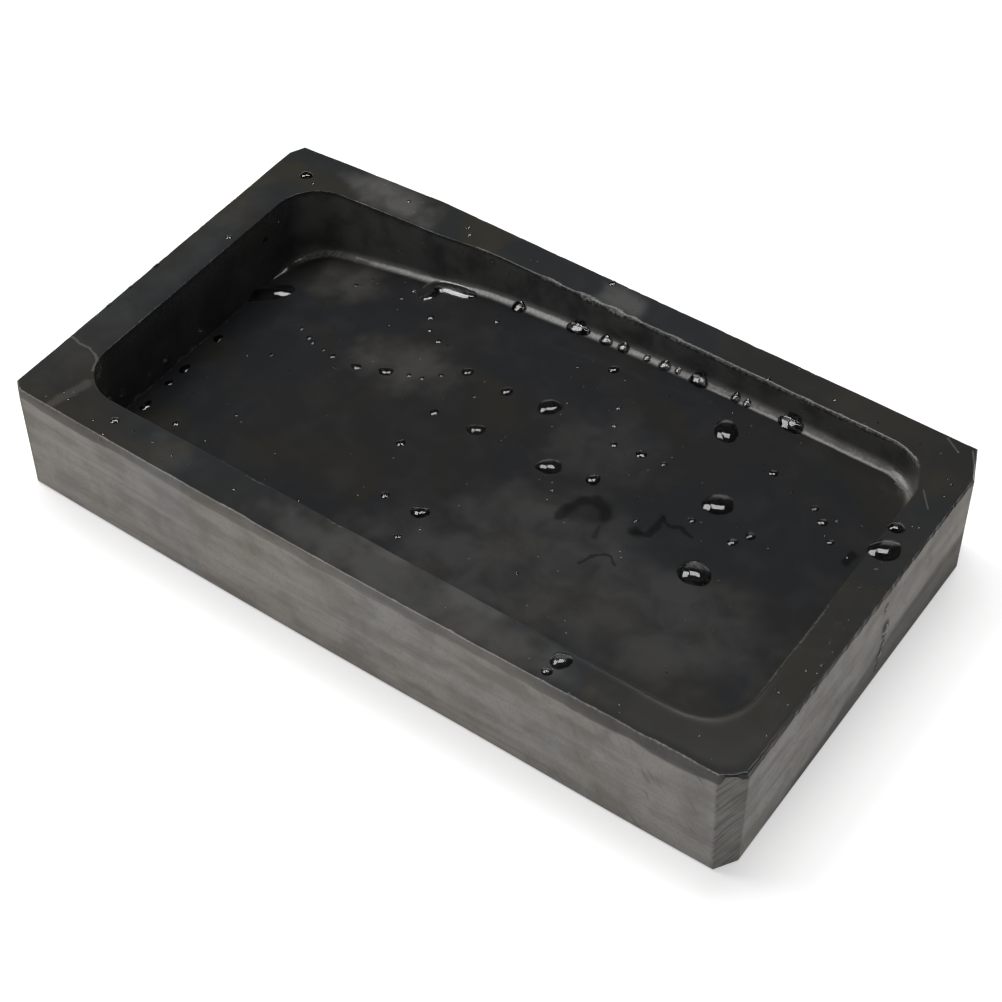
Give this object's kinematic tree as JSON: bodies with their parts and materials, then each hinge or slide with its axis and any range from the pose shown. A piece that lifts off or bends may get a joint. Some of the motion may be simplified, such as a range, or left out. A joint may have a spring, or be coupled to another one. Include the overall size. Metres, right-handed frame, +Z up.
{
  "type": "ink stone",
  "caption": "Rectangular slate ink stone with a level grinding land that curves down into a deep ink sea, inside a broad flat rim with hand-filed corners.",
  "frame": {"origin": "middle of the flat underside of the stone", "axes": "+X along the stone's length towards the end with the level grinding land, +Y across it towards the back, +Z up out of the open pool"},
  "size_m": [0.2, 0.1136, 0.032],
  "materials": {
    "slate": "satin"
  },
  "bodies": {
    "root": {"ink_stone": "slate"}
  },
  "joints": []
}
